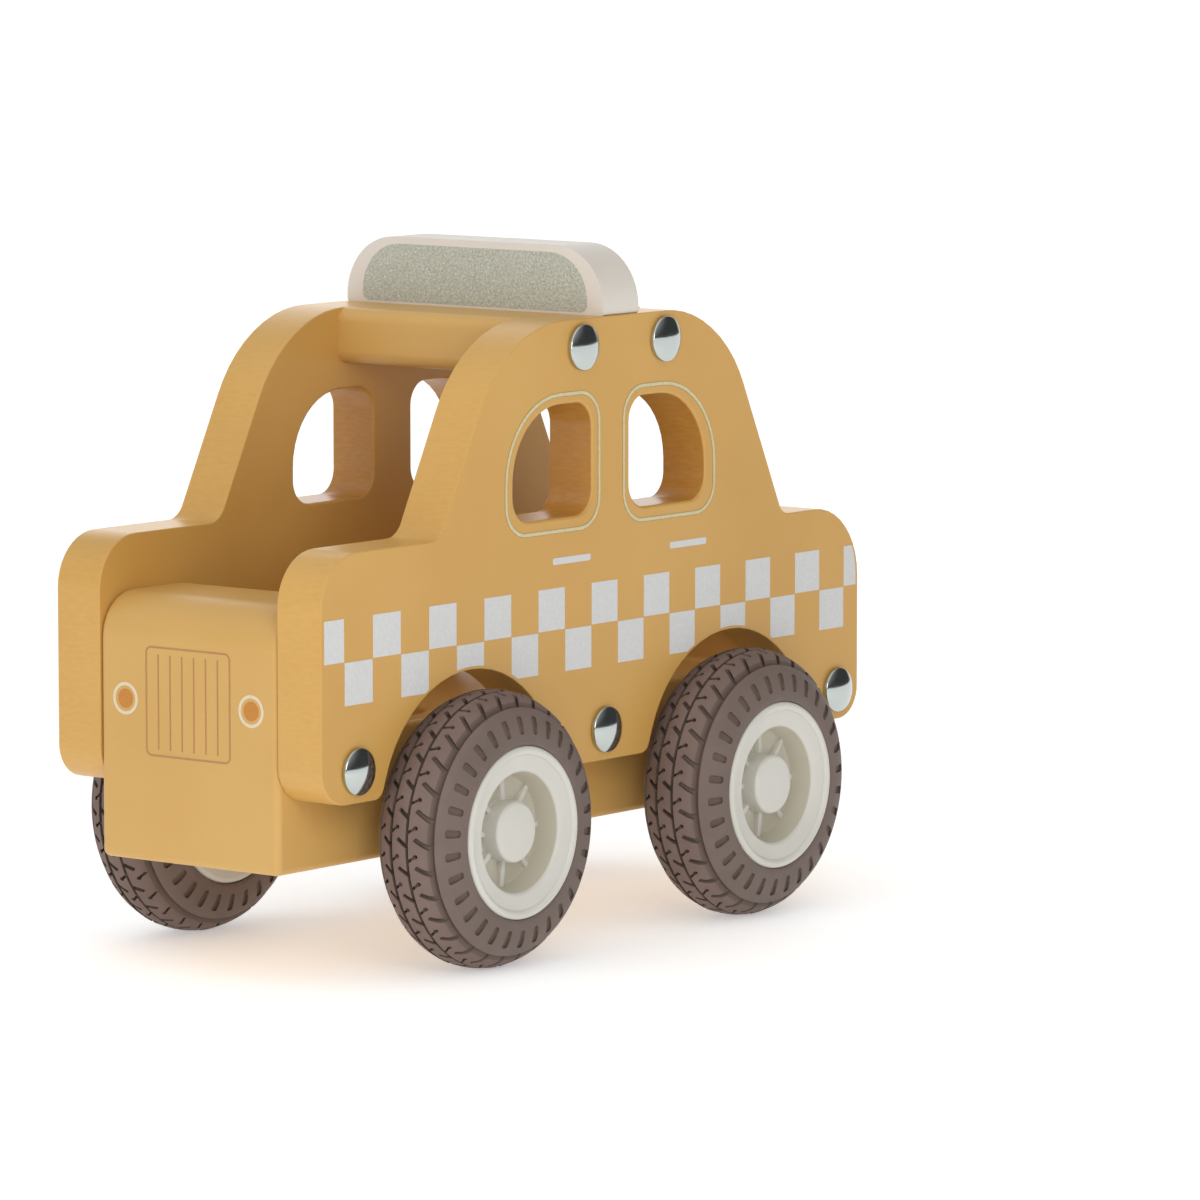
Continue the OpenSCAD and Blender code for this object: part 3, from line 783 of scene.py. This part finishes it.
# %% The tread's slots
def raised(spots, way):
    """A cutter: a flat face on the spots, extruded along way, in mm."""
    made = flat_start("cutter", spots)
    edit(made, "FACE")
    bpy.ops.mesh.select_all(action="SELECT")
    bpy.ops.mesh.extrude_region_move(TRANSFORM_OT_translate={"value": tuple(v * MM for v in way)})
    tidy_mesh(made)
    return made


def tread_cutter(spots):
    """A cutter from spots (across, round, deep) in mm on the crown, raised outwards."""
    return raised([
        ((crown(a) - d) * math.cos(t / TYRE_R), a, (crown(a) - d) * math.sin(t / TYRE_R)) for a, t, d in spots
    ], (3, 0, 0))


def slanted(start, end, wide_start, wide_end, deep_start, deep_end, nick=0.1):
    """Spots of a straight slot from start to end, (across, round), with its start's corners nicked off."""
    run = Vector(end) - Vector(start)
    way, off = run.normalized(), Vector((-run.y, run.x)).normalized()
    spots = []
    for side in (1, -1):
        edge = Vector(start) + off * side * wide_start / 2
        three = [
            (*(Vector(end) + off * side * wide_end / 2), deep_end),
            (*(edge + way * nick), deep_start), (*(edge - off * side * nick), deep_start),
        ]
        spots += three[::side]
    return spots


# Each slot: where it starts across the tread, how far it reaches, its width, and its depth at start and end.
SLOTS = ((2.55, 1.8, 0.68, 0.62, 0.48), (0.02, 1.52, 0.62, 0.8, 0.85), (-2.68, 1.5, 0.62, 0.8, 0.85))
SLOT_START, SLOT_SLANT = 0.02, 0.8
STUBS, BULB_R, BULB_AT, BULB_DEEP = (2.65, -0.07, -2.8), 0.33, 1.63, 0.85
for across, reach, wide, deep, shallow in SLOTS:
    end = (across + reach, SLOT_START - reach * SLOT_SLANT)
    cut(tyre, tread_cutter(slanted((across, SLOT_START), end, wide, wide, deep, shallow)))
# A stub is a narrow neck with a round bulb at its end.
for across in STUBS:
    neck = slanted((across, 1.6), (across - 1.1, 0.84), 0.32, 0.46, 0.45, 0.55, 0.02)
    turns = np.linspace(0, 2 * math.pi, 13)[:-1]
    bulb = [(across + BULB_R * math.cos(a), BULB_AT + BULB_R * math.sin(a), BULB_DEEP) for a in turns]
    cut(tyre, tread_cutter(neck), tread_cutter(bulb))
print("wedge faces with slots:", len(tyre.data.polygons))


# %% The walls' slots
# The slot's shape is pairs of radius and half width.
WALL_SLOT = [(13.6, 0.3), (13.85, 0.52), (14.7, 0.55), (15.8, 0.55), (16.05, 0.34)]
WALL_SLOT_TURN, WALL_SLOT_DEEP = 0.052, 0.34


def wall_cutter(way):
    """The cutter of a shallow rounded slot on one wall, raised sideways."""
    spots = []
    for side in (1, -1):
        for r, half in WALL_SLOT[::side]:
            turn = WALL_SLOT_TURN + side * half / 15
            spots.append((r * math.cos(turn), way * (wall_out(r) - WALL_SLOT_DEEP), r * math.sin(turn)))
    return raised(spots, (0, way * 2, 0))


cut(tyre, wall_cutter(1), wall_cutter(-1))
edit(tyre, "FACE")
half = math.pi / PITCHES
ends = [Vector((-math.sin(half), 0, way * math.cos(half))) for way in (1, -1)]
caps = pick(tyre, "FACE", lambda f: max(f.normal.dot(way) for way in ends) > 0.9999)
bpy.ops.mesh.delete(type="ONLY_FACE")
bpy.ops.mesh.select_all(action="SELECT")
repeat_round(PITCHES)
tidy_mesh(tyre)
smooth(tyre, 40)
edit(tyre, "EDGE")
bpy.ops.mesh.select_non_manifold()
open_edges = sum(e.select for e in bmesh.from_edit_mesh(tyre.data).edges)
deselect()
print("caps taken off:", caps, "tyre faces:", len(tyre.data.polygons), "open edges:", open_edges)

# %% [markdown]
# ## Rubber
# The tyres are moulded from brown-grey rubber. Rubber is matt, because its surface is full of fine pores,
# and the walls come out of a smoother part of the mould than the tread, so they shine a little more and
# hold less dust. The faces that look sideways get the wall's version. The slots and grooves get a darker
# version, which is painted shade for these hollows.

# %% Rubber
def rubber(name, light, dark, rough):
    # Moulded rubber: matt and slightly dusty, with pores that are drawn a little coarser than real to show.
    made, tree, shader, place = material(name, IOR=1.52, Roughness=rough)
    bloom = add(tree, "ShaderNodeTexNoise", {"Vector": place}, Scale=1 / (6 * MM), Detail=3.0)
    add(tree, "ShaderNodeValToRGB", {"Fac": bloom.outputs[0]}, shader.inputs["Base Color"],
        [(0.3, dark), (0.7, light)])
    pores = add(tree, "ShaderNodeTexNoise", {"Vector": place}, Scale=1 / (0.25 * MM), Detail=2.0)
    add(tree, "ShaderNodeBump", {"Height": pores.outputs[0]}, shader.inputs["Normal"],
        Strength=0.2, Distance=0.03 * MM)
    return made


TREAD, SIDE, SLOT = 0, 1, 2
TREAD_END, INSIDE_R, SLOT_LOW, SLOT_HIGH = 4.2, 15, 13.5, 16.2
SHOULDER_END, SHOULDER_R = 4.65, 17.2


def rubber_at(face):
    """Which of the three rubbers a face has: the tread's, the walls' or the one in slots and grooves."""
    round_at, out = math.hypot(face.center.x, face.center.z) / MM, abs(face.center.y) / MM
    if out < TREAD_END:
        return SLOT if INSIDE_R < round_at < crown(out) - 0.1 else TREAD
    in_slot = SLOT_LOW < round_at < SLOT_HIGH and out < wall_out(round_at) - 0.12
    in_groove = out < SHOULDER_END and round_at < SHOULDER_R
    return SLOT if in_slot or in_groove else SIDE if abs(face.normal.y) > 0.55 else TREAD


tyre.data.materials.append(rubber("dusty_brown_grey_rubber", "#7A675F", "#725F57", 0.78))
tyre.data.materials.append(rubber("smooth_brown_grey_rubber", "#75655D", "#6D5E56", 0.62))
# Slots and grooves get a darker rubber, painted shade for these hollows.
tyre.data.materials.append(rubber("brown_grey_rubber_with_painted_slot_shade", "#69594F", "#615148", 0.7))
for face in tyre.data.polygons:
    face.material_index = rubber_at(face)
counts = [sum(f.material_index == i for f in tyre.data.polygons) for i in range(3)]
print("faces of tread, walls and slots:", counts)

# %% [markdown]
# ## Four wheels
# One hub and one tyre are copied to the four places. The wheels of the right side are turned half round, so
# that their dishes look outwards too. Each axle stands where it stopped rolling, so its tyres are turned a
# little.

# %% Four wheels
WHEEL_Y = 26.3
ROLLED = {"front": 0.049, "rear": 0.109}
for axle, x in AXLES.items():
    for side, y, turned in (("left", WHEEL_Y, 0), ("right", -WHEEL_Y, math.pi)):
        spot = Matrix.Translation(Vector((x, y, AXLE_UP)) * MM) @ Matrix.Rotation(turned, 4, "Z")
        rolled = spot @ Matrix.Rotation(-ROLLED[axle], 4, "Y")
        kinds = ((hub, "hub", "hub_plastic", spot), (tyre, "tyre", "tyre_rubber", rolled))
        for piece, node, slot, place in kinds:
            made = copy_to(piece, f"{node}_made_{axle}_{side}", place)
            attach(made, axle + "_wheelset")
            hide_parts(f"{node}_{axle}_{side}")
for piece in (hub, tyre):
    bpy.data.objects.remove(piece)
print("wheels:", 2 * len(AXLES))

# %% [markdown]
# ## Axles, washers and dowels
# These solids are already the right shape, so they stay and only get a finish. An axle is drawn steel rod,
# with fine lines along it from the die. A washer is moulded from a plastic like the hub's. A dowel is bare
# beech, with short dark flecks along the grain.

# %% Finishes for the solids that stay
# Drawn steel: bright, with a brushed sheen along the rod.
steel, tree, shader, place = material("drawn_steel_rod", Base_Color=colour("#B9BCBE"), Metallic=1.0)
along = add(tree, "ShaderNodeMapping", {"Vector": place}, Scale=(1.0, 0.03, 1.0))
lines = add(tree, "ShaderNodeTexNoise", {"Vector": along.outputs[0]}, Scale=1 / (0.15 * MM), Detail=2.0)
add(tree, "ShaderNodeMapRange", {"Value": lines.outputs[0]}, shader.inputs["Roughness"],
    To_Min=0.2, To_Max=0.42)
# Bare beech: pale pinkish brown and matt, with flecks 2 mm long.
beech, tree, shader, place = material("bare_beech", IOR=1.45, Roughness=0.7)
along = add(tree, "ShaderNodeMapping", {"Vector": place}, Scale=(1.0, 1.0, 0.15))
flecks = add(tree, "ShaderNodeTexNoise", {"Vector": along.outputs[0]}, Scale=1 / (0.3 * MM), Detail=3.0)
add(tree, "ShaderNodeValToRGB", {"Fac": flecks.outputs[0]}, shader.inputs["Base Color"],
    [(0.3, "#B08A5C"), (0.55, "#CCAA7A")])
washer_plastic = moulded("plain_cream_plastic", "#E6E3DA", "#E0DDD3", 0.45)
kept = [("axle", steel), ("washer", washer_plastic), ("dowel", beech)]
for name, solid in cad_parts.items():
    for word, look in kept:
        if word in name:
            solid.material_slots[0].material = look
print("finished solids:", sum(any(word in name for word, _ in kept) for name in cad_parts))

# %% [markdown]
# ## Camera, floor and light
# The camera stands where the photographer stood: low, to the front left, far away with a long lens. The
# floor is white paper that runs to the horizon and glows a little, as it does under bright lamps. The light
# is a large soft glow above the front, a bright backdrop behind the toy that gives its upper edges their
# sheen, and one small lamp low on its front left. The rest of the studio is dark, so that the bright rivets
# have something dark to mirror.

# %% Camera
scene = bpy.context.scene
scene.view_settings.view_transform = "Standard"
camera_data = bpy.data.cameras.new("camera")
SENSOR, LENS = 36.0, 220.23
CAMERA_AT = Vector((808.416, 654.909, 168.407)) * MM
camera_data.sensor_width, camera_data.lens = SENSOR, LENS
camera = bpy.data.objects.new("camera", camera_data)
scene.collection.objects.link(camera)
scene.camera = camera
turn, rise = math.radians(52.007), math.radians(6.6875)
back = Vector((math.sin(turn) * math.cos(rise), math.cos(turn) * math.cos(rise), math.sin(rise)))
camera.rotation_mode = "QUATERNION"
camera.location = CAMERA_AT
camera.rotation_quaternion = (-back).to_track_quat("-Z", "Y")
print("camera at", [round(v / MM) for v in camera.location])

# %% Floor
deselect()
bpy.ops.mesh.primitive_plane_add(size=40, location=(0, 0, 0))
floor = bpy.context.object
floor.name = "floor"
floor.data.materials.append(material(
    "white_paper", Base_Color=colour("#F7F7F7"), Roughness=0.9,
    Emission_Color=colour("#FFFFFF"), Emission_Strength=0.38,
)[0])
floor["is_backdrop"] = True

# %% Light
scene.world = bpy.data.worlds.new("studio")
scene.world.use_nodes = True
tree = scene.world.node_tree
way = add(tree, "ShaderNodeTexCoord").outputs["Generated"]
sky = tree.nodes["Background"]
sky.inputs["Color"].default_value = colour("#FFFFFF")
glows = []
# Each glow: the way to its middle, how far towards it the light starts and is full, and its strength.
DARK = 0.03
KEY = ((0.55, 0.08, 0.83), 0.0, 0.9, 0.93)
BACKDROP = ((-0.78, -0.61, 0.1), 0.68, 0.95, 1.8)
for middle, start, end, strength in (KEY, BACKDROP):
    towards = add(tree, "ShaderNodeVectorMath", {0: way}, operation="DOT_PRODUCT")
    towards.inputs[1].default_value = Vector(middle).normalized()
    glows.append(add(
        tree, "ShaderNodeMapRange", {"Value": towards.outputs["Value"]}, interpolation_type="SMOOTHSTEP",
        From_Min=start, From_Max=end, To_Min=DARK, To_Max=strength,
    ).outputs[0])
add(tree, "ShaderNodeMath", {0: glows[0], 1: glows[1]}, sky.inputs["Strength"], operation="ADD")

lamp_data = bpy.data.lights.new("near_lamp", "AREA")
LAMP_SIZE, LAMP_WATTS = 0.12, 0.175
LAMP_AT, LAMP_AIM = Vector((0.19, 0.24, 0.13)), Vector((0, 0, 0.05))
lamp_data.size, lamp_data.energy = LAMP_SIZE, LAMP_WATTS
lamp = bpy.data.objects.new("near_lamp", lamp_data)
scene.collection.objects.link(lamp)
lamp.visible_camera = False
lamp.location = LAMP_AT
lamp.rotation_mode = "QUATERNION"
lamp.rotation_quaternion = (LAMP_AIM - LAMP_AT).to_track_quat("-Z", "Y")
print("studio:", scene.world.name, "lamp:", lamp.name)

# %% [markdown]
# ## Sizes
# The box of every piece that shows, without the floor, is measured.

# %% Sizes
low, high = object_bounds()
